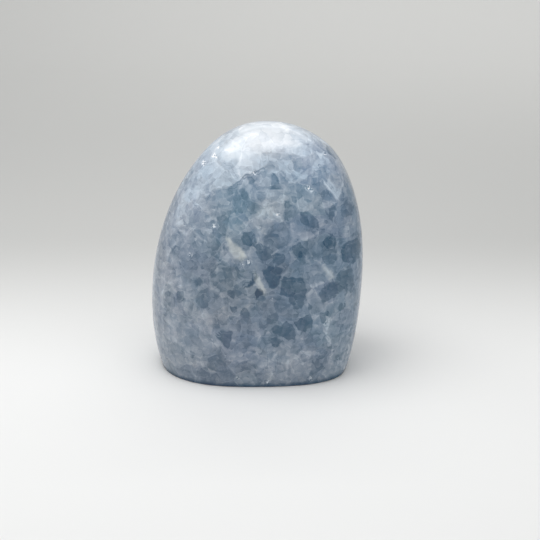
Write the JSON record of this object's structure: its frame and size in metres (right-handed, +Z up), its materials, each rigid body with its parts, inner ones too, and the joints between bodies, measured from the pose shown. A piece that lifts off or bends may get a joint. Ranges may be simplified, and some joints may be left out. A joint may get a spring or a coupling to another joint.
{
  "type": "polished calcite freeform",
  "caption": "Egg-shaped freeform of polished blue calcite, ground flat underneath so that it stands upright with its crown leaning slightly to one side.",
  "frame": {"origin": "centre of the flat base, on the surface that the stone stands on", "axes": "+Z up from the base to the crown, +X to the right as seen from the front, the side the crown leans to, +Y away from the front"},
  "size_m": [0.0845, 0.0571, 0.0999],
  "materials": {
    "polished_calcite": "high polish over milky grey-blue calcite with fine pale veins and darker cleavage grains"
  },
  "bodies": {
    "root": {"calcite_stone": "polished_calcite"}
  },
  "joints": []
}
